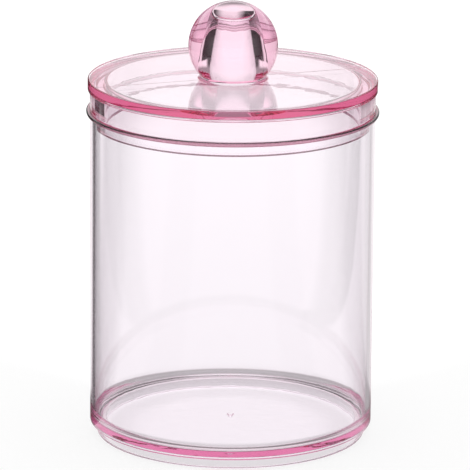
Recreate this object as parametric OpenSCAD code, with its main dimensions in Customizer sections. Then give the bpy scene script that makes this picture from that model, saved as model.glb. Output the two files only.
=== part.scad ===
// Round clear storage jar for cotton swabs, with a lift-off lid and a ball knob.
// Both mouldings are turned profiles. X of a profile is the radius, Y is the height.
// Origin: centre of the jar's base, on the table. +Z is up. Millimetres.

/* [Jar wall] */
// Outside diameter of the straight wall
body_d = 70; // [50:1:110]
// Height of the jar from the table to the top of its mouth
jar_h = 82; // [50:0.1:150]
// Thickness of the wall
wall_t = 1.2; // [0.8:0.1:3]
// Round on the heel, where the wall turns under
heel_round = 0.5; // [0.2:0.1:1.5]

/* [Jar floor] */
// Thickness of the floor
floor_t = 1.4; // [0.8:0.1:4]
// Inside fillet between the floor and the wall
floor_fillet = 3; // [1:0.1:8]
// Diameter of the gate mark left under the floor's centre
gate_d = 1.8; // [1:0.1:4]
// Diameter of the gate mark's tip
gate_tip_d = 0.8; // [0.4:0.1:1]
// Height of the gate mark
gate_h = 0.8; // [0.1:0.1:0.9]

/* [Foot ring] */
// How far the foot ring is set in from the outside of the wall
foot_inset = 1.7; // [0.5:0.1:10]
// Height of the foot ring, from the table to the floor's underside
foot_h = 2.7; // [1:0.1:8]
// Width of the foot ring
foot_t = 2; // [0.8:0.1:4]
// Round on the foot ring's lower edges
foot_round = 0.35; // [0.1:0.05:0.35]
// Fillet inside the foot ring, under the floor
foot_fillet = 0.3; // [0.1:0.1:1]

/* [Mouth lip] */
// How far the lip stands out from the wall
lip_w = 1; // [0.5:0.1:4]
// Thickness of the lip
lip_t = 0.9; // [0.8:0.1:3]
// Round on the lip's outer edges
lip_round = 0.4; // [0.1:0.05:0.4]
// Fillet under the lip
lip_fillet = 0.3; // [0.1:0.1:1]
// Round on the mouth's inner edge
mouth_round = 0.3; // [0.1:0.1:0.7]

/* [Lid] */
// Radial clearance between the lid's plug and the mouth
plug_gap = 0.3; // [0.1:0.05:0.8]
// How far the plug reaches into the jar
plug_depth = 3.75; // [2:0.05:12]
// Thickness of the plug's ring
plug_t = 2; // [1:0.1:4]
// Round on the plug's lower edges
plug_round = 0.3; // [0.1:0.05:0.45]
// Height of the band between the mouth lip and the top disc
band_h = 5.05; // [2:0.05:15]
// How far the band stands out from the jar's wall
band_step = 0.1; // [0:0.05:0.8]
// Round on the band's lower edge
band_round = 0.2; // [0.1:0.05:0.5]
// Thickness of the top disc
disc_t = 2.8; // [1.2:0.1:5]
// How far the top disc stands out from the band
disc_step = 0.5; // [0.2:0.1:3]
// Round on the top disc's upper edge
disc_round = 0.35; // [0.1:0.05:0.6]
// Round on the top disc's lower edge
disc_under_round = 0.2; // [0.1:0.05:0.5]
// Fillet between the top disc and the plug's ring, inside the lid
lid_fillet = 0.8; // [0.2:0.1:3]

/* [Knob] */
// Diameter of the ball
ball_d = 22; // [18:0.5:30]
// Diameter of the neck that carries the ball
neck_d = 16.6; // [12:0.2:17.4]
// Height of the neck
neck_h = 0.9; // [0.6:0.1:5]
// Fillet at the foot of the neck
neck_fillet = 0.45; // [0.1:0.05:0.55]
// Plastic left around the core at the lid's underside
core_wall = 1.8; // [1:0.1:3]
// Plastic left over the core, below the top of the ball
core_cap = 4.7; // [2:0.1:9]
// Draft of the core on each side, in degrees
core_draft = 7.8; // [1:0.1:9]
// Round on the top edge of the core
core_round = 0.5; // [0.1:0.1:1]

/* [Hidden] */
$fn = 128;
// Depth to which a cove bites into the faces that it joins
bite = 0.05;
// Overrun of a cut past the face that it opens
overrun = 1;
body_r = body_d / 2;
mouth_r = body_r - wall_t;
floor_top = foot_h + floor_t;
foot_r = body_r - foot_inset;
foot_in_r = foot_r - foot_t;
lip_r = body_r + lip_w;
lip_z = jar_h - lip_t;
plug_r = mouth_r - plug_gap;
plug_in_r = plug_r - plug_t;
plug_z = jar_h - plug_depth;
band_r = body_r + band_step;
disc_r = band_r + disc_step;
disc_z = jar_h + band_h;
disc_top = disc_z + disc_t;
ball_r = ball_d / 2;
neck_r = neck_d / 2;
neck_top = disc_top + neck_h;
ball_z = neck_top + sqrt(ball_r * ball_r - neck_r * neck_r);
core_top = ball_z + ball_r - core_cap;
core_foot_r = neck_r - core_wall;
core_top_r = core_foot_r - (core_top - disc_z) * tan(core_draft);
pink = [0.96, 0.74, 0.83, 0.45];

// Corner piece with a hollow quarter round: fills an inner corner, or cuts an outer one
module cove(r) {
  difference() {
    translate([-bite, -bite])
      square(r + bite);
    translate([r, r])
      circle(r);
  }
}

// A cove whose corner is at p and that opens towards the signs in to
module cove_at(p, r, to) {
  translate(p)
    mirror([to[0] < 0 ? 1 : 0, 0])
      mirror([0, to[1] < 0 ? 1 : 0])
        cove(r);
}

// A block of the profile between two radii and two heights
module block(r0, z0, r1, z1) {
  translate([r0, z0])
    square([r1 - r0, z1 - z0]);
}

// Half of the gate mark's section: a stub that narrows downwards
module gate_profile() {
  polygon([
    [0, foot_h - gate_h],
    [gate_tip_d / 2, foot_h - gate_h],
    [gate_d / 2, foot_h],
    [gate_d / 2, foot_h + bite],
    [0, foot_h + bite]
  ]);
}

// Half of the jar's section
module jar_profile() {
  difference() {
    union() {
      block(mouth_r, foot_h, body_r, jar_h);
      block(0, foot_h, body_r, floor_top);
      block(foot_in_r, 0, foot_r, floor_top);
      block(mouth_r, lip_z, lip_r, jar_h);
      gate_profile();
      cove_at([mouth_r, floor_top], floor_fillet, [-1, 1]);
      cove_at([foot_in_r, foot_h], foot_fillet, [-1, -1]);
      cove_at([body_r, lip_z], lip_fillet, [1, -1]);
    }
    cove_at([body_r, foot_h], heel_round, [-1, 1]);
    cove_at([foot_in_r, 0], foot_round, [1, 1]);
    cove_at([foot_r, 0], foot_round, [-1, 1]);
    cove_at([lip_r, lip_z], lip_round, [-1, 1]);
    cove_at([lip_r, jar_h], lip_round, [-1, -1]);
    cove_at([mouth_r, jar_h], mouth_round, [1, -1]);
  }
}

// Half of the lid's section, without the ball
module lid_profile() {
  difference() {
    union() {
      block(0, disc_z, disc_r, disc_top);
      block(plug_in_r, jar_h, band_r, disc_top);
      block(plug_in_r, plug_z, plug_r, disc_top);
      block(0, disc_z, neck_r, neck_top);
      cove_at([plug_in_r, disc_z], lid_fillet, [-1, -1]);
      cove_at([neck_r, disc_top], neck_fillet, [1, 1]);
    }
    cove_at([plug_in_r, plug_z], plug_round, [1, 1]);
    cove_at([plug_r, plug_z], plug_round, [-1, 1]);
    cove_at([band_r, jar_h], band_round, [-1, 1]);
    cove_at([disc_r, disc_z], disc_under_round, [-1, 1]);
    cove_at([disc_r, disc_top], disc_round, [-1, -1]);
  }
}

// Half of the core's section: a drafted plug, open at the lid's underside
module core_profile() {
  run = overrun * tan(core_draft);
  difference() {
    polygon([
      [0, disc_z - overrun],
      [core_foot_r + run, disc_z - overrun],
      [core_top_r, core_top],
      [0, core_top]
    ]);
    cove_at([core_top_r, core_top], core_round, [-1, -1]);
  }
}

// Cup with a foot ring, a filleted floor and a lip round its mouth
module jar_body() {
  color(pink)
    rotate_extrude()
      jar_profile();
}

// Disc with a band that sits on the mouth, a plug inside it and a cored ball on top
module lid() {
  color(pink)
    difference() {
      union() {
        rotate_extrude()
          lid_profile();
        intersection() {
          translate([0, 0, ball_z])
            sphere(ball_r);
          translate([0, 0, neck_top - neck_h / 2])
            cylinder(h = ball_d, r = ball_r + overrun);
        }
      }
      rotate_extrude()
        core_profile();
    }
}

jar_body();
lid();
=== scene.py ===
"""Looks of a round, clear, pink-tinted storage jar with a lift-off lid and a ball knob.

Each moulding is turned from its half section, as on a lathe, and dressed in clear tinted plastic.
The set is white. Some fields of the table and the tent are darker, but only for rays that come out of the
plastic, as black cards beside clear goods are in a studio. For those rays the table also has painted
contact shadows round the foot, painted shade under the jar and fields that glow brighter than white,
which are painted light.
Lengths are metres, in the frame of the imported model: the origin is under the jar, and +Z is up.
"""

import logging
import math
from dataclasses import dataclass
from enum import Enum
from typing import Union

import bmesh
import bpy
from mathutils import Matrix, Vector


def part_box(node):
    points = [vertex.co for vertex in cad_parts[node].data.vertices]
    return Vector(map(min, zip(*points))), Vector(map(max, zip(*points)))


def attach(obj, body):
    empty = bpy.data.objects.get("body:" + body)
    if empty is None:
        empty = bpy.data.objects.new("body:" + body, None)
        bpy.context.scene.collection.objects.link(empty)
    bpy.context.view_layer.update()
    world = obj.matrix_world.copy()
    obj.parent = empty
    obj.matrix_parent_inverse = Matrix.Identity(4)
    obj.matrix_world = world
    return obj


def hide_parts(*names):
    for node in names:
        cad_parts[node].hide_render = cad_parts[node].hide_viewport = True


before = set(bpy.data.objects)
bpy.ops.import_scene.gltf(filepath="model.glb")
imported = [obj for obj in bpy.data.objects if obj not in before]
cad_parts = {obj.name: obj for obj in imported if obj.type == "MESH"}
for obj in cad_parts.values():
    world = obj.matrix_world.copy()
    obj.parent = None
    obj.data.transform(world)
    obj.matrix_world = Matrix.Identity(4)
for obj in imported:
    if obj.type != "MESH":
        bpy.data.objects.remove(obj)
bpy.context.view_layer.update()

MM = 0.001
WHITE = (1.0, 1.0, 1.0, 1.0)
LOG = logging.getLogger("swab_jar")
Span = tuple[float, float]
Colour = tuple[float, float, float, float]
Stops = tuple[tuple[float, float], ...]
Socket = bpy.types.NodeSocket
Sockets = bpy.types.bpy_prop_collection
Feed = Union[Socket, float, Colour]


class Moulding(Enum):
    """The two mouldings: name of the piece, the node that it stands for, its body and its slot."""

    JAR = ("jar_shell", "jar_body", "jar", "clear_pink_jar")
    LID = ("lid_shell", "lid", "lid", "clear_pink_lid")

    def __init__(self, piece: str, node: str, body: str, slot: str) -> None:
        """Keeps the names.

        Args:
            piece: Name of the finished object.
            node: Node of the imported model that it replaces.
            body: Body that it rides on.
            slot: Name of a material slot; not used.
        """
        self.piece = piece
        self.node = node
        self.body = body
        self.slot = slot


@dataclass(frozen=True)
class Corner:
    """A corner of a half section: its radius from the axis, its height and its round."""

    radius: float
    height: float
    rounding: float = 0.0

    def point(self) -> Vector:
        """The corner's place in the XZ plane."""
        return Vector((self.radius, 0.0, self.height))


@dataclass(frozen=True)
class Lathe:
    """Turns a half section about the Z axis into a closed moulding."""

    steps: int = 256
    round_segments: int = 8
    smooth_angle: float = math.radians(35)
    merge_distance: float = 0.5e-6
    flat_weight: int = 100

    def turn(self, name: str, section: list[Corner]) -> bpy.types.Object:
        """Makes one moulding.

        Args:
            name: Name of the new object.
            section: Corners from the axis round the outside and back to the axis.

        Returns:
            The finished object, at the origin.
        """
        bpy.ops.object.select_all(action="DESELECT")
        bpy.ops.mesh.primitive_plane_add(size=MM)
        piece = bpy.context.active_object
        piece.name = name
        piece.data.name = name
        bpy.ops.object.mode_set(mode="EDIT")
        self._draw(section)
        self._round(piece, section)
        self._spin()
        bpy.ops.object.mode_set(mode="OBJECT")
        self._smooth(piece)
        return piece

    def _draw(self, section: list[Corner]) -> None:
        """Shrinks the plane to one vertex and extrudes that along the section.

        Args:
            section: Corners to draw, in order.
        """
        bpy.ops.mesh.select_all(action="SELECT")
        bpy.ops.mesh.merge(type="CENTER")
        bpy.ops.transform.translate(value=section[0].point())
        for here, there in zip(section, section[1:]):
            step = there.point() - here.point()
            bpy.ops.mesh.extrude_vertices_move(TRANSFORM_OT_translate={"value": step})

    def _round(self, piece: bpy.types.Object, section: list[Corner]) -> None:
        """Bevels each corner that has a round.

        Args:
            piece: The object in edit mode.
            section: Corners as they were drawn.
        """
        for before, corner, after in zip(section, section[1:], section[2:]):
            if corner.rounding <= 0.0:
                continue
            back = before.point() - corner.point()
            ahead = after.point() - corner.point()
            reach = corner.rounding / math.tan(back.angle(ahead) / 2)
            mesh = bmesh.from_edit_mesh(piece.data)
            bpy.ops.mesh.select_all(action="DESELECT")
            nearest = min(mesh.verts, key=lambda v: (v.co - corner.point()).length)
            nearest.select = True
            mesh.select_flush_mode()
            bmesh.update_edit_mesh(piece.data)
            bpy.ops.mesh.bevel(
                offset_type="ABSOLUTE",
                offset=reach,
                segments=self.round_segments,
                affect="VERTICES",
                clamp_overlap=False,
            )

    def _spin(self) -> None:
        """Spins the section once round, joins the ends and turns the faces outwards."""
        bpy.ops.mesh.select_all(action="SELECT")
        bpy.ops.mesh.spin(steps=self.steps, angle=math.tau, center=(0, 0, 0), axis=(0, 0, 1))
        bpy.ops.mesh.select_all(action="SELECT")
        bpy.ops.mesh.remove_doubles(threshold=self.merge_distance)
        bpy.ops.mesh.normals_make_consistent(inside=False)

    def _smooth(self, piece: bpy.types.Object) -> None:
        """Smooths the rounds and keeps the flats flat.

        Args:
            piece: The turned object.
        """
        bpy.ops.object.shade_smooth_by_angle(angle=self.smooth_angle)
        weighted = piece.modifiers.new("flat_faces_lead", "WEIGHTED_NORMAL")
        weighted.keep_sharp = True
        weighted.weight = self.flat_weight
        bpy.ops.object.modifier_apply(modifier=weighted.name)


class NodeBench:
    """Places and links nodes in one node tree."""

    # A Mix node has a set of sockets for each kind of value; these are the places of those for colours.
    COLOUR_A = 6
    COLOUR_B = 7
    COLOUR_RESULT = 2

    def __init__(self, tree: bpy.types.NodeTree) -> None:
        """Keeps the tree.

        Args:
            tree: Tree of a material, a world or a group.
        """
        self.tree = tree

    def add(self, kind: str, **settings: object) -> bpy.types.Node:
        """Adds a node.

        Args:
            kind: Node type.
            settings: Attributes to set on it.

        Returns:
            The node.
        """
        node = self.tree.nodes.new(kind)
        for name, value in settings.items():
            setattr(node, name, value)
        return node

    def feed(self, socket: Socket, value: Feed) -> None:
        """Links another socket to an input, or sets the input's value.

        Args:
            socket: Input to feed.
            value: Socket to link to it, or the value to set.
        """
        if isinstance(value, Socket):
            self.tree.links.new(value, socket)
        else:
            socket.default_value = value

    def math(self, operation: str, *values: Feed) -> Socket:
        """Adds a Math node.

        Args:
            operation: Its operation.
            values: Sockets or numbers for its inputs.

        Returns:
            Its result.
        """
        node = self.add("ShaderNodeMath", operation=operation)
        for socket, value in zip(node.inputs, values):
            self.feed(socket, value)
        return node.outputs["Value"]

    def blend(self, factor: Feed, a: Feed, b: Feed) -> Socket:
        """Adds a mix of two values.

        Args:
            factor: Share of the second value.
            a: First value.
            b: Second value.

        Returns:
            The result's socket.
        """
        node = self.add("ShaderNodeMix", data_type="FLOAT")
        for name, value in (("Factor", factor), ("A", a), ("B", b)):
            self.feed(node.inputs[name], value)
        return node.outputs["Result"]

    def blend_colours(self, factor: Feed, a: Feed, b: Feed) -> Socket:
        """Adds a mix of two colours.

        Args:
            factor: Share of the second colour.
            a: First colour.
            b: Second colour.

        Returns:
            The result's socket.
        """
        node = self.add("ShaderNodeMix", data_type="RGBA")
        self.feed(node.inputs["Factor"], factor)
        self.feed(node.inputs[self.COLOUR_A], a)
        self.feed(node.inputs[self.COLOUR_B], b)
        return node.outputs[self.COLOUR_RESULT]

    def ramp(self, value: Feed, low: float, high: float, start: float = 0.0, end: float = 1.0) -> Socket:
        """Adds a smooth step.

        Args:
            value: Socket to read.
            low: Value at which the step starts.
            high: Value at which it ends.
            start: Result below the step.
            end: Result above it.

        Returns:
            The result's socket.
        """
        node = self.add("ShaderNodeMapRange", interpolation_type="SMOOTHSTEP")
        names = ("Value", "From Min", "From Max", "To Min", "To Max")
        for name, setting in zip(names, (value, low, high, start, end)):
            self.feed(node.inputs[name], setting)
        return node.outputs["Result"]

    def apart(self, vector: Socket) -> tuple[Socket, Socket, Socket]:
        """Takes a place or direction apart.

        Args:
            vector: Its socket.

        Returns:
            Sockets of its three parts.
        """
        parts = self.add("ShaderNodeSeparateXYZ")
        self.feed(parts.inputs["Vector"], vector)
        return parts.outputs["X"], parts.outputs["Y"], parts.outputs["Z"]

    def from_axis(self, x: Socket, y: Socket) -> Socket:
        """Measures the distance from the Z axis.

        Args:
            x: Socket of the place across.
            y: Socket of the place behind.

        Returns:
            Socket of the distance.
        """
        squares = self.math("ADD", self.math("MULTIPLY", x, x), self.math("MULTIPLY", y, y))
        return self.math("SQRT", squares)


class MouldedSkinAndPaintedShade:
    """Node group of a moulded skin and painted shade: faint flow ripple, a seam line and a band of
    painted shade in the base colour.
    """

    NAME = "moulded_skin_and_painted_shade"
    NUMBERS = (
        "Across",
        "Along",
        "Lively From",
        "Calm",
        "Painted Shade Low",
        "Painted Shade High",
        "Painted Shade Radius",
        "Seam Depth",
        "Seam Height",
    )
    FLOW_DETAIL = 1.5
    FLOW_ROUGHNESS = 0.4
    LIVELY_STEP = 1.5 * MM
    SEAM_ANGLE = math.radians(20.0)
    SEAM_WIDTH = 0.25 * MM
    SEAM_FROM = 9.0 * MM

    def tree(self) -> bpy.types.NodeTree:
        """The group's tree, built on first use.

        Returns:
            The tree.
        """
        known = bpy.data.node_groups.get(self.NAME)
        return known if known else self._built()

    def _built(self) -> bpy.types.NodeTree:
        """Builds the group.

        Returns:
            The new tree.
        """
        tree = bpy.data.node_groups.new(self.NAME, "ShaderNodeTree")
        self._declare(tree)
        bench = NodeBench(tree)
        given = bench.add("NodeGroupInput").outputs
        result = bench.add("NodeGroupOutput").inputs
        x, y, z = bench.apart(given["Place"])
        radius = bench.from_axis(x, y)
        flow = self._flow(bench, given, (x, y, z))
        seam = self._seam(bench, given, (x, y, z), radius)
        bench.feed(result["Height"], bench.math("SUBTRACT", flow, seam))
        # Painted shade: a band at the lip or the plug's lower edge gets a darker base colour
        painted_shade_band = self._painted_shade_mask(bench, given, z, radius)
        bench.feed(result["Tint"], bench.blend_colours(painted_shade_band, given["Plain Tint"], given["Painted Shade Tint"]))
        return tree

    def _declare(self, tree: bpy.types.NodeTree) -> None:
        """Gives the group its inputs and outputs.

        Args:
            tree: The group's new tree.
        """
        tree.interface.new_socket("Place", in_out="INPUT", socket_type="NodeSocketVector")
        for name in self.NUMBERS:
            tree.interface.new_socket(name, in_out="INPUT", socket_type="NodeSocketFloat")
        for name in ("Plain Tint", "Painted Shade Tint"):
            tree.interface.new_socket(name, in_out="INPUT", socket_type="NodeSocketColor")
        tree.interface.new_socket("Tint", in_out="OUTPUT", socket_type="NodeSocketColor")
        tree.interface.new_socket("Height", in_out="OUTPUT", socket_type="NodeSocketFloat")

    def _flow(self, bench: NodeBench, given: Sockets, place: tuple[Socket, Socket, Socket]) -> Socket:
        """Ripple that the flow of the melt leaves, stretched along the axis.

        Args:
            bench: Bench of the group.
            given: The group's inputs.
            place: Sockets of the three coordinates.

        Returns:
            Socket of the height.
        """
        x, y, z = place
        stretched = bench.add("ShaderNodeCombineXYZ")
        for axis, value, scale in (("X", x, "Across"), ("Y", y, "Across"), ("Z", z, "Along")):
            bench.feed(stretched.inputs[axis], bench.math("MULTIPLY", value, given[scale]))
        noise = bench.add("ShaderNodeTexNoise")
        noise.inputs["Scale"].default_value = 1.0
        noise.inputs["Detail"].default_value = self.FLOW_DETAIL
        noise.inputs["Roughness"].default_value = self.FLOW_ROUGHNESS
        bench.feed(noise.inputs["Vector"], stretched.outputs["Vector"])
        lively = bench.ramp(bench.math("SUBTRACT", z, given["Lively From"]), 0.0, self.LIVELY_STEP)
        return bench.math("MULTIPLY", noise.outputs["Fac"], bench.blend(lively, given["Calm"], 1.0))

    def _seam(
        self, bench: NodeBench, given: Sockets, place: tuple[Socket, Socket, Socket], radius: Socket
    ) -> Socket:
        """Depth of the straight seam line across a flat top.

        Args:
            bench: Bench of the group.
            given: The group's inputs.
            place: Sockets of the three coordinates.
            radius: Socket of the distance from the axis.

        Returns:
            Socket of the depth.
        """
        x, y, z = place
        along_x = bench.math("MULTIPLY", x, math.sin(self.SEAM_ANGLE))
        along_y = bench.math("MULTIPLY", y, math.cos(self.SEAM_ANGLE))
        across = bench.math("ABSOLUTE", bench.math("SUBTRACT", along_x, along_y))
        line = bench.ramp(across, 0.0, self.SEAM_WIDTH, 1.0, 0.0)
        line = bench.math("MULTIPLY", line, bench.math("GREATER_THAN", radius, self.SEAM_FROM))
        line = bench.math("MULTIPLY", line, bench.math("GREATER_THAN", z, given["Seam Height"]))
        return bench.math("MULTIPLY", line, given["Seam Depth"])

    def _painted_shade_mask(self, bench: NodeBench, given: Sockets, z: Socket, radius: Socket) -> Socket:
        """Mask of the band that gets painted shade, a darker base colour.

        Args:
            bench: Bench of the group.
            given: The group's inputs.
            z: Socket of the height.
            radius: Socket of the distance from the axis.

        Returns:
            Socket of the mask.
        """
        inside = bench.math("GREATER_THAN", radius, given["Painted Shade Radius"])
        inside = bench.math("MULTIPLY", inside, bench.math("GREATER_THAN", z, given["Painted Shade Low"]))
        return bench.math("MULTIPLY", inside, bench.math("LESS_THAN", z, given["Painted Shade High"]))


@dataclass(frozen=True)
class ClearPlastic:
    """Clear moulded plastic, tinted through its thickness, with a band of painted shade in its base
    colour.
    """

    name: str
    tint: Colour
    density: float
    flow_across: float
    flow_along: float
    painted_shade_z: Span
    painted_shade_r: float
    painted_shade_tint: Colour
    lively_from: float = -1.0
    calm: float = 1.0
    seam_depth: float = 0.0
    seam_z: float = 0.0
    ior: float = 1.53
    surface: Colour = (0.99, 0.985, 1.0, 1.0)
    ripple: float = 0.06
    ripple_depth: float = 0.4 * MM

    def material(self) -> bpy.types.Material:
        """Makes the material.

        Returns:
            The new material.
        """
        material = bpy.data.materials.new(self.name)
        material.use_nodes = True
        bench = NodeBench(material.node_tree)
        shader = material.node_tree.nodes["Principled BSDF"]
        output = material.node_tree.nodes["Material Output"]
        shader.inputs["Roughness"].default_value = 0.0
        shader.inputs["IOR"].default_value = self.ior
        shader.inputs["Transmission Weight"].default_value = 1.0
        skin = self._skin(bench)
        bench.feed(shader.inputs["Base Color"], skin.outputs["Tint"])
        bump = bench.add("ShaderNodeBump")
        bump.inputs["Strength"].default_value = self.ripple
        bump.inputs["Distance"].default_value = self.ripple_depth
        bench.feed(bump.inputs["Height"], skin.outputs["Height"])
        bench.feed(shader.inputs["Normal"], bump.outputs["Normal"])
        absorption = bench.add("ShaderNodeVolumeAbsorption")
        absorption.inputs["Color"].default_value = self.tint
        absorption.inputs["Density"].default_value = self.density
        bench.feed(output.inputs["Volume"], absorption.outputs["Volume"])
        return material

    def _skin(self, bench: NodeBench) -> bpy.types.Node:
        """Places the group of the moulded skin and painted shade with this plastic's values.

        Args:
            bench: Bench of the material.

        Returns:
            The group's node.
        """
        skin = bench.add("ShaderNodeGroup", node_tree=MouldedSkinAndPaintedShade().tree())
        place = bench.add("ShaderNodeTexCoord")
        values = {
            "Place": place.outputs["Object"],
            "Across": self.flow_across,
            "Along": self.flow_along,
            "Lively From": self.lively_from,
            "Calm": self.calm,
            "Painted Shade Low": self.painted_shade_z[0],
            "Painted Shade High": self.painted_shade_z[1],
            "Painted Shade Radius": self.painted_shade_r,
            "Seam Depth": self.seam_depth,
            "Seam Height": self.seam_z,
            "Plain Tint": self.surface,
            "Painted Shade Tint": self.painted_shade_tint,
        }
        for name, value in values.items():
            bench.feed(skin.inputs[name], value)
        return skin


# The band of painted shade, a darker base colour, is the jar's lip and the lower edge of the lid's plug
JAR_PLASTIC = ClearPlastic(
    "clear_pink_jar",
    tint=(0.94, 0.02, 0.5, 1.0),
    density=22.0,
    flow_across=180.0,
    flow_along=9.0,
    painted_shade_z=(81.05 * MM, 82.05 * MM),
    painted_shade_r=35.02 * MM,
    # Painted shade: darker base colour on the lip
    painted_shade_tint=(0.32, 0.11, 0.16, 1.0),
)
LID_PLASTIC = ClearPlastic(
    "clear_pink_lid",
    tint=(0.945, 0.03, 0.42, 1.0),
    density=27.0,
    flow_across=220.0,
    flow_along=160.0,
    painted_shade_z=(78.0 * MM, 78.75 * MM),
    painted_shade_r=33.1 * MM,
    # Painted shade: darker base colour on the plug's lower edge
    painted_shade_tint=(0.15, 0.07, 0.1, 1.0),
    lively_from=90.5 * MM,
    calm=0.08,
    seam_depth=0.5,
    seam_z=89.6 * MM,
    ripple=0.25,
)


@dataclass
class Shell:
    """What the jar and the lid have in common: a turned mesh that stands for a node."""

    moulding: Moulding
    finish: ClearPlastic
    lathe: Lathe

    def section(self) -> list[Corner]:
        """Corners of the half section."""
        raise NotImplementedError

    def build(self) -> bpy.types.Object:
        """Turns the moulding, seats it on its body and dresses it.

        Returns:
            The finished piece.
        """
        piece = self.lathe.turn(self.moulding.piece, self.section())
        self.dress(piece)
        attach(piece, self.moulding.body)
        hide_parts(self.moulding.node)
        return piece

    def dress(self, piece: bpy.types.Object) -> None:
        """Gives the piece its finish.

        Args:
            piece: The turned mesh.
        """
        piece.data.materials.clear()
        piece.data.materials.append(self.finish.material())


@dataclass
class Jar(Shell):
    """The cup: a foot ring, a filleted floor, a thin wall and a lip round the mouth."""

    lip_w: float = 1.0 * MM
    lip_t: float = 0.9 * MM
    lip_round: float = 0.4 * MM
    lip_fillet: float = 0.3 * MM
    mouth_round: float = 0.3 * MM
    wall_t: float = 1.2 * MM
    floor_t: float = 1.4 * MM
    floor_fillet: float = 3.0 * MM
    heel_round: float = 0.5 * MM
    foot_inset: float = 1.7 * MM
    foot_t: float = 2.0 * MM
    foot_h: float = 2.7 * MM
    foot_round: float = 0.35 * MM
    foot_fillet: float = 0.3 * MM
    gate_r: float = 0.9 * MM
    gate_tip_r: float = 0.4 * MM
    gate_h: float = 0.8 * MM
    gate_round: float = 0.1 * MM

    def __post_init__(self) -> None:
        """Reads the jar's height and reach from the frame."""
        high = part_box(self.moulding.node)[1]
        self.height = high.z
        self.lip_r = high.x
        self.body_r = self.lip_r - self.lip_w
        self.mouth_r = self.body_r - self.wall_t

    def section(self) -> list[Corner]:
        """Corners from the gate mark round the foot and the wall to the floor inside.

        Returns:
            The half section.
        """
        foot_r = self.body_r - self.foot_inset
        foot_in_r = foot_r - self.foot_t
        lip_z = self.height - self.lip_t
        floor_top = self.foot_h + self.floor_t
        gate_z = self.foot_h - self.gate_h
        return [
            Corner(0.0, gate_z),
            Corner(self.gate_tip_r, gate_z, self.gate_round),
            Corner(self.gate_r, self.foot_h, self.gate_round),
            Corner(foot_in_r, self.foot_h, self.foot_fillet),
            Corner(foot_in_r, 0.0, self.foot_round),
            Corner(foot_r, 0.0, self.foot_round),
            Corner(foot_r, self.foot_h, self.foot_fillet / 2),
            Corner(self.body_r, self.foot_h, self.heel_round),
            Corner(self.body_r, lip_z, self.lip_fillet),
            Corner(self.lip_r, lip_z, self.lip_round),
            Corner(self.lip_r, self.height, self.lip_round),
            Corner(self.mouth_r, self.height, self.mouth_round),
            Corner(self.mouth_r, floor_top, self.floor_fillet),
            Corner(0.0, floor_top),
        ]


@dataclass
class Lid(Shell):
    """The lid: a disc with a band that sits on the lip, a plug inside it and a cored ball on top."""

    seat: Jar | None = None
    seat_gap: float = 0.03 * MM
    plug_gap: float = 0.3 * MM
    plug_depth: float = 3.75 * MM
    plug_t: float = 2.0 * MM
    plug_round: float = 0.3 * MM
    band_h: float = 5.05 * MM
    band_step: float = 0.1 * MM
    band_round: float = 0.2 * MM
    disc_t: float = 2.8 * MM
    disc_step: float = 0.5 * MM
    disc_round: float = 0.35 * MM
    disc_under_round: float = 0.2 * MM
    lid_fillet: float = 0.8 * MM
    ball_r: float = 11.0 * MM
    ball_arc_steps: int = 56
    neck_r: float = 8.3 * MM
    neck_h: float = 0.9 * MM
    neck_fillet: float = 0.45 * MM
    core_wall: float = 1.8 * MM
    core_cap: float = 4.7 * MM
    core_draft: float = math.radians(7.8)
    core_round: float = 0.5 * MM
    core_foot_round: float = 0.4 * MM

    def section(self) -> list[Corner]:
        """Corners from the top of the core down to the plug, round the disc and over the ball.

        Returns:
            The half section.
        """
        seat_z = self.seat.height + self.seat_gap
        plug_r = self.seat.mouth_r - self.plug_gap
        plug_in_r = plug_r - self.plug_t
        plug_z = self.seat.height - self.plug_depth
        band_r = self.seat.body_r + self.band_step
        disc_r = band_r + self.disc_step
        disc_z = self.seat.height + self.band_h
        disc_top = disc_z + self.disc_t
        neck_top = disc_top + self.neck_h
        ball_z = neck_top + math.sqrt(self.ball_r**2 - self.neck_r**2)
        core_top = ball_z + self.ball_r - self.core_cap
        core_foot_r = self.neck_r - self.core_wall
        core_top_r = core_foot_r - (core_top - disc_z) * math.tan(self.core_draft)
        return [
            Corner(0.0, core_top),
            Corner(core_top_r, core_top, self.core_round),
            Corner(core_foot_r, disc_z, self.core_foot_round),
            Corner(plug_in_r, disc_z, self.lid_fillet),
            Corner(plug_in_r, plug_z, self.plug_round),
            Corner(plug_r, plug_z, self.plug_round),
            Corner(plug_r, seat_z, self.band_round / 2),
            Corner(band_r, seat_z, self.band_round),
            Corner(band_r, disc_z, self.band_round / 2),
            Corner(disc_r, disc_z, self.disc_under_round),
            Corner(disc_r, disc_top, self.disc_round),
            Corner(self.neck_r, disc_top, self.neck_fillet),
            *self._ball(ball_z, neck_top),
        ]

    def _ball(self, ball_z: float, neck_top: float) -> list[Corner]:
        """Points over the ball, from the neck to the top.

        Args:
            ball_z: Height of the ball's centre.
            neck_top: Height at which the ball meets the neck.

        Returns:
            Corners without rounds.
        """
        start = math.asin((neck_top - ball_z) / self.ball_r)
        sweep = math.pi / 2 - start
        corners = []
        for step in range(self.ball_arc_steps):
            angle = start + sweep * step / self.ball_arc_steps
            corners.append(Corner(self.ball_r * math.cos(angle), ball_z + self.ball_r * math.sin(angle)))
        corners.append(Corner(0.0, ball_z + self.ball_r))
        return corners


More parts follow.
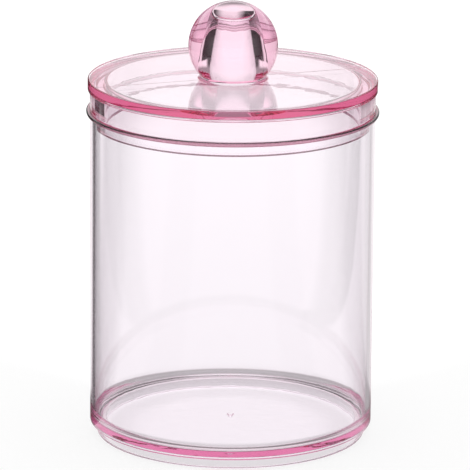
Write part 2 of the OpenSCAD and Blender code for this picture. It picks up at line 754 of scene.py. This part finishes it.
class StudioBench(NodeBench):
    """Node bench of the set, whose levels change with a ray's bearing and with its path."""

    HALF_TURN = 180.0
    FULL_TURN = 360.0
    ONCE_FROM = 0.5
    GUIDED_FROM = 1.5

    def round_the_jar(self, x: Socket, y: Socket, stops: Stops) -> Socket:
        """Adds levels by the bearing from the jar; 0 degrees is behind it.

        Args:
            x: Socket of the X part of a place or direction.
            y: Socket of its Y part.
            stops: Pairs of a bearing in degrees and the level there.

        Returns:
            Socket of the level.
        """
        bearing = self.math("DEGREES", self.math("ARCTAN2", x, y))
        place = self.math("DIVIDE", self.math("ADD", bearing, self.HALF_TURN), self.FULL_TURN)
        ramp = self.add("ShaderNodeValToRGB")
        marks = ramp.color_ramp.elements
        while len(marks) < len(stops):
            marks.new(1.0)
        for mark, (angle, level) in zip(marks, stops):
            mark.position = (angle + self.HALF_TURN) / self.FULL_TURN
            mark.color = (level, level, level, 1.0)
        self.feed(ramp.inputs["Fac"], place)
        return ramp.outputs["Color"]

    def by_path(self, plain: Feed, once: Feed, guided: Feed) -> Socket:
        """Picks the level for a ray by how often it was reflected on its way.

        Args:
            plain: Level for a ray that was only refracted.
            once: Level for a ray that was reflected once.
            guided: Level for a ray that ran along inside the plastic.

        Returns:
            Socket of the level.
        """
        reflections = self.add("ShaderNodeLightPath").outputs["Glossy Depth"]
        is_once = self.math("GREATER_THAN", reflections, self.ONCE_FROM)
        is_guided = self.math("GREATER_THAN", reflections, self.GUIDED_FROM)
        return self.blend(is_guided, self.blend(is_once, plain, once), guided)


@dataclass(frozen=True)
class SharedLevels:
    """Levels of light that the table and the tent share by a ray's path; on the table the 1.2 behind the
    jar is painted light.
    """

    plain: Stops = ((-48.0, 1.0), (-16.0, 1.2), (16.0, 1.2), (48.0, 1.0))
    once: Stops = (
        (-125.0, 1.0),
        (-100.0, 0.02),
        (-14.0, 0.02),
        (-4.0, 1.0),
        (12.0, 1.0),
        (24.0, 0.02),
        (100.0, 0.02),
        (125.0, 1.0),
    )
    guided: float = 0.85


@dataclass(frozen=True)
class Tent:
    """White tent round the set; reflected rays see darker sides and a darker band near its top.

    The spans are heights on the unit sphere of directions.
    """

    shared: SharedLevels
    high_once: Stops = (
        (-125.0, 1.0),
        (-100.0, 0.1),
        (-60.0, 0.1),
        (-44.0, 1.15),
        (44.0, 1.15),
        (60.0, 0.1),
        (100.0, 0.1),
        (125.0, 1.0),
    )
    high_from: Span = (0.2, 0.25)
    ceiling_from: Span = (0.34, 0.5)
    ceiling_to: Span = (0.72, 0.85)
    ceiling_once: float = 0.35
    ceiling_guided: float = 0.2

    def build(self) -> None:
        """Lights the set from the tent; diffuse light and the camera get plain white."""
        world = bpy.data.worlds.new("white_tent")
        bpy.context.scene.world = world
        world.use_nodes = True
        bench = StudioBench(world.node_tree)
        background = world.node_tree.nodes["Background"]
        background.inputs["Color"].default_value = WHITE
        rays = bench.add("ShaderNodeLightPath")
        white = bench.math("MAXIMUM", rays.outputs["Is Camera Ray"], rays.outputs["Is Diffuse Ray"])
        bench.feed(background.inputs["Strength"], bench.math("MAXIMUM", self._level(bench), white))

    def _level(self, bench: StudioBench) -> Socket:
        """Level of the tent for a ray that comes out of the plastic.

        Args:
            bench: Bench of the world.

        Returns:
            Socket of the level.
        """
        place = bench.add("ShaderNodeTexCoord")
        x, y, z = bench.apart(place.outputs["Generated"])
        ceiling_start = bench.ramp(z, *self.ceiling_from)
        ceiling = bench.math("SUBTRACT", ceiling_start, bench.ramp(z, *self.ceiling_to))
        low = bench.round_the_jar(x, y, self.shared.once)
        high = bench.round_the_jar(x, y, self.high_once)
        once = bench.blend(bench.ramp(z, *self.high_from), low, high)
        once = bench.blend(ceiling, once, self.ceiling_once)
        guided = bench.blend(ceiling, self.shared.guided, self.ceiling_guided)
        plain = bench.blend(ceiling, bench.round_the_jar(x, y, self.shared.plain), 1.0)
        return bench.by_path(plain, once, guided)


@dataclass(frozen=True)
class Meeting:
    """Where and how a ray meets the table, as sockets.

    Facing is 1 for a ray along the table and 0 for one straight down. Above is 1 for a ray that left the
    plastic higher than the jar's wall reaches.
    """

    x: Socket
    y: Socket
    away: Socket
    facing: Socket
    above: Socket
    rays: bpy.types.Node


@dataclass(frozen=True)
class Table:
    """Pale table that keeps the jar's shadow; rays out of the plastic see darker fields on it, painted
    contact shadows round the foot, painted shade under the jar and fields that glow brighter than white.
    """

    shared: SharedLevels
    size: float = 6.0
    drop: float = 0.05 * MM
    lit_share: float = 0.18
    # At this blend, Facing is 1 less the cosine of the angle to the upright
    facing_blend: float = 0.5
    wall_top: Span = (83.0 * MM, 88.0 * MM)
    # Levels under the jar, where guided rays see painted shade, and of the painted contact shadow round
    # its foot: a dark band outside the foot and a fainter one just inside it
    contact_from: float = 34.0 * MM
    painted_contact_shadow_span: Span = (40.5 * MM, 43.5 * MM)
    painted_contact_shadow_level: float = 0.42
    painted_inside_shadow_from: Span = (21.0 * MM, 27.5 * MM)
    painted_inside_shadow_to: Span = (29.5 * MM, 31.2 * MM)
    painted_inside_shadow_level: float = 0.82
    under_once: float = 1.0
    painted_shade_under_guided: float = 0.7
    # Rays that crossed many faces, as in the knob, and come down steeply
    deep_from: float = 4.5
    deep_facing: Span = (0.03, 0.11)
    deep_level: float = 0.25
    # Reflected rays that come down steeply
    bounced_facing: Span = (0.3, 0.62)
    bounced_level: float = 0.25
    # Rays reflected once, by their bearing: dark fields as black cards, and at the front sides fields
    # that glow at 1.7, brighter than white, as painted light for highlights
    once_cards_and_painted_glow: Stops = (
        (-112.0, 1.7),
        (-80.0, 0.12),
        (-58.0, 0.12),
        (-50.0, 1.0),
        (50.0, 1.0),
        (58.0, 0.3),
        (80.0, 0.3),
        (112.0, 1.7),
    )
    front_reach: Span = (0.03, 0.4)
    front_level: float = 0.9
    # Strips that lean out from the jar: their edges, the slopes of those, and their levels left and right
    strip_from: Span = (27.0 * MM, 36.0 * MM)
    strip_to: Span = (45.0 * MM, 60.0 * MM)
    strip_slopes: Span = (0.42, 0.95)
    strips_behind: Span = (0.02, 0.6)
    strips_in_front: Span = (0.6, 0.6)
    wall_crossings: Span = (0.5, 3.5)

    def build(self) -> None:
        """Lays the table."""
        bpy.ops.object.select_all(action="DESELECT")
        bpy.ops.mesh.primitive_plane_add(size=self.size, location=(0.0, 0.0, -self.drop))
        floor = bpy.context.active_object
        floor.name = "floor"
        floor.data.materials.append(self._material())

    def _material(self) -> bpy.types.Material:
        """Makes the table's material: part of it glows, white for the camera and at other levels, some of
        them painted light brighter than white, for rays out of the plastic, and part is lit and takes the
        shadow.

        Returns:
            The new material.
        """
        material = bpy.data.materials.new("pale_floor")
        material.use_nodes = True
        tree = material.node_tree
        tree.nodes.remove(tree.nodes["Principled BSDF"])
        bench = StudioBench(tree)
        level = self._level(bench, self._meeting(bench))
        share = bench.math("MULTIPLY", bench.math("MINIMUM", level, 1.0), self.lit_share)
        glow = bench.add("ShaderNodeEmission")
        bench.feed(glow.inputs["Strength"], level)
        lit = bench.add("ShaderNodeBsdfDiffuse")
        lit.inputs["Color"].default_value = WHITE
        both = bench.add("ShaderNodeMixShader")
        for socket, value in zip(both.inputs, (share, glow.outputs["Emission"], lit.outputs["BSDF"])):
            bench.feed(socket, value)
        bench.feed(tree.nodes["Material Output"].inputs["Surface"], both.outputs["Shader"])
        return material

    def _meeting(self, bench: StudioBench) -> Meeting:
        """Reads where and how a ray meets the table.

        Args:
            bench: Bench of the material.

        Returns:
            The sockets.
        """
        place = bench.add("ShaderNodeTexCoord")
        x, y, _ = bench.apart(place.outputs["Object"])
        weight = bench.add("ShaderNodeLayerWeight")
        weight.inputs["Blend"].default_value = self.facing_blend
        facing = weight.outputs["Facing"]
        rays = bench.add("ShaderNodeLightPath")
        slope = bench.math("SUBTRACT", 1.0, facing)
        left_at = bench.math("MULTIPLY", rays.outputs["Ray Length"], slope)
        above = bench.ramp(left_at, *self.wall_top)
        return Meeting(x, y, bench.from_axis(x, y), facing, above, rays)

    def _level(self, bench: StudioBench, meeting: Meeting) -> Socket:
        """Level of the table for a ray; the camera gets plain white.

        Args:
            bench: Bench of the material.
            meeting: Where and how the ray meets the table.

        Returns:
            Socket of the level.
        """
        outside = bench.math("GREATER_THAN", meeting.away, self.contact_from)
        grazing = bench.ramp(meeting.facing, *self.bounced_facing)
        bounced = bench.blend(grazing, self.bounced_level, 1.0)
        once = bench.math("MULTIPLY", self._once(bench, meeting), bounced)
        once = bench.blend(outside, self.under_once, once)
        guided = bench.math("MULTIPLY", bounced, self.shared.guided)
        # Painted shade: under the jar, guided rays see the table darker
        guided = bench.blend(outside, self.painted_shade_under_guided, guided)
        level = bench.by_path(self._plain(bench, meeting, outside), once, guided)
        return bench.math("MAXIMUM", level, meeting.rays.outputs["Is Camera Ray"])

    def _plain(self, bench: StudioBench, meeting: Meeting, outside: Socket) -> Socket:
        """Level of the table as it is seen straight through the plastic.

        Args:
            bench: Bench of the material.
            meeting: Where and how the ray meets the table.
            outside: Socket that is 1 outside the jar's foot.

        Returns:
            Socket of the level.
        """
        # Painted light: for straight-through rays the table behind the jar glows at 1.2, brighter than
        # white
        sides = bench.round_the_jar(meeting.x, meeting.y, self.shared.plain)
        level = bench.blend(meeting.above, 1.0, sides)
        # Painted contact shadows: a dark band round the outside of the foot and a fainter one just inside
        # it
        painted_contact_shadow = bench.ramp(meeting.away, *self.painted_contact_shadow_span, self.painted_contact_shadow_level, 1.0)
        painted_inside_start = bench.ramp(meeting.away, *self.painted_inside_shadow_from)
        painted_inside_band = bench.math("SUBTRACT", painted_inside_start, bench.ramp(meeting.away, *self.painted_inside_shadow_to))
        painted_inside_shadow = bench.blend(painted_inside_band, 1.0, self.painted_inside_shadow_level)
        level = bench.math("MULTIPLY", level, bench.blend(outside, painted_inside_shadow, painted_contact_shadow))
        deep = bench.math("GREATER_THAN", meeting.rays.outputs["Transmission Depth"], self.deep_from)
        steep = bench.blend(bench.ramp(meeting.facing, *self.deep_facing), self.deep_level, 1.0)
        return bench.math("MULTIPLY", level, bench.blend(deep, 1.0, steep))

    def _once(self, bench: StudioBench, meeting: Meeting) -> Socket:
        """Level of the table as it is seen after one reflection.

        Args:
            bench: Bench of the material.
            meeting: Where and how the ray meets the table.

        Returns:
            Socket of the level.
        """
        # Painted light: the front sides glow at 1.7 for rays reflected once
        sides = bench.round_the_jar(meeting.x, meeting.y, self.once_cards_and_painted_glow)
        behind = bench.math("MINIMUM", sides, self._strips(bench, meeting, self.strips_behind))
        front = bench.blend(bench.ramp(meeting.away, *self.front_reach), self.front_level, sides)
        striped = bench.math("MINIMUM", front, self._strips(bench, meeting, self.strips_in_front))
        front = bench.blend(self._in_wall(bench, meeting), front, striped)
        near = bench.blend(bench.math("LESS_THAN", meeting.y, 0.0), behind, front)
        far = bench.round_the_jar(meeting.x, meeting.y, self.shared.once)
        return bench.blend(meeting.above, near, far)

    def _in_wall(self, bench: StudioBench, meeting: Meeting) -> Socket:
        """Mask of the rays that crossed one to three faces, as those reflected inside the wall do.

        Args:
            bench: Bench of the material.
            meeting: Where and how the ray meets the table.

        Returns:
            Socket of the mask.
        """
        crossings = meeting.rays.outputs["Transmission Depth"]
        entered = bench.math("GREATER_THAN", crossings, self.wall_crossings[0])
        few = bench.math("LESS_THAN", crossings, self.wall_crossings[1])
        return bench.math("MULTIPLY", entered, few)

    def _strips(self, bench: StudioBench, meeting: Meeting, levels: Span) -> Socket:
        """Levels of two strips on the table that lean out from the jar, one on each side.

        Args:
            bench: Bench of the material.
            meeting: Where and how the ray meets the table.
            levels: Levels of the left and the right strip.

        Returns:
            Socket of the level: 1 outside the strips.
        """
        depth = bench.math("ABSOLUTE", meeting.y)
        leans = [bench.math("MULTIPLY", depth, slope) for slope in self.strip_slopes]
        level: Feed = 1.0
        for sign, strip in zip((-1.0, 1.0), levels):
            across = bench.math("MULTIPLY", meeting.x, sign)
            started = bench.ramp(bench.math("SUBTRACT", across, leans[0]), *self.strip_from)
            ended = bench.ramp(bench.math("SUBTRACT", across, leans[1]), *self.strip_to)
            mask = bench.math("MAXIMUM", bench.math("SUBTRACT", started, ended), 0.0)
            level = bench.blend(mask, level, strip)
        return level


@dataclass(frozen=True)
class View:
    """The camera: a long lens that looks down at the jar from the front."""

    focal_px: float = 4532.0
    frame_px: float = 470.0
    sensor: float = 36.0
    distance: float = 1.12
    elevation: float = math.radians(15.1)
    roll: float = math.radians(0.45)
    aim_height: float = 49.92 * MM
    axis_px: float = 231.8

    def build(self) -> None:
        """Sets up the camera."""
        data = bpy.data.cameras.new("view")
        camera = bpy.data.objects.new("view", data)
        bpy.context.scene.collection.objects.link(camera)
        data.sensor_width = self.sensor
        data.lens = self.focal_px / self.frame_px * self.sensor
        data.shift_x = (self.frame_px / 2 - self.axis_px) / self.frame_px
        ahead = Vector((0.0, math.cos(self.elevation), -math.sin(self.elevation)))
        turn = ahead.to_track_quat("-Z", "Y").to_matrix().to_4x4() @ Matrix.Rotation(self.roll, 4, "Z")
        place = Vector((0.0, 0.0, self.aim_height)) - ahead * self.distance
        camera.matrix_world = Matrix.Translation(place) @ turn
        bpy.context.scene.camera = camera


@dataclass(frozen=True)
class Studio:
    """A white set round the jar: the table, the tent and the camera."""

    levels: SharedLevels = SharedLevels()
    bounces: int = 40

    def build(self) -> None:
        """Makes the set and lets rays cross as many faces as the knob has them cross."""
        Table(self.levels).build()
        Tent(self.levels).build()
        View().build()
        scene = bpy.context.scene
        scene.view_settings.view_transform = "Standard"
        scene.cycles.max_bounces = self.bounces
        scene.cycles.glossy_bounces = self.bounces
        scene.cycles.transmission_bounces = self.bounces


def main() -> None:
    """Builds the jar, the lid and the set, in that order."""
    logging.basicConfig(level=logging.INFO, format="%(message)s")
    lathe = Lathe()
    jar = Jar(Moulding.JAR, JAR_PLASTIC, lathe)
    lid = Lid(Moulding.LID, LID_PLASTIC, lathe, seat=jar)
    for shell in (jar, lid):
        piece = shell.build()
        LOG.info("%s: %d faces, rides on %s", piece.name, len(piece.data.polygons), shell.moulding.body)
    Studio().build()


if __name__ == "__main__":
    main()
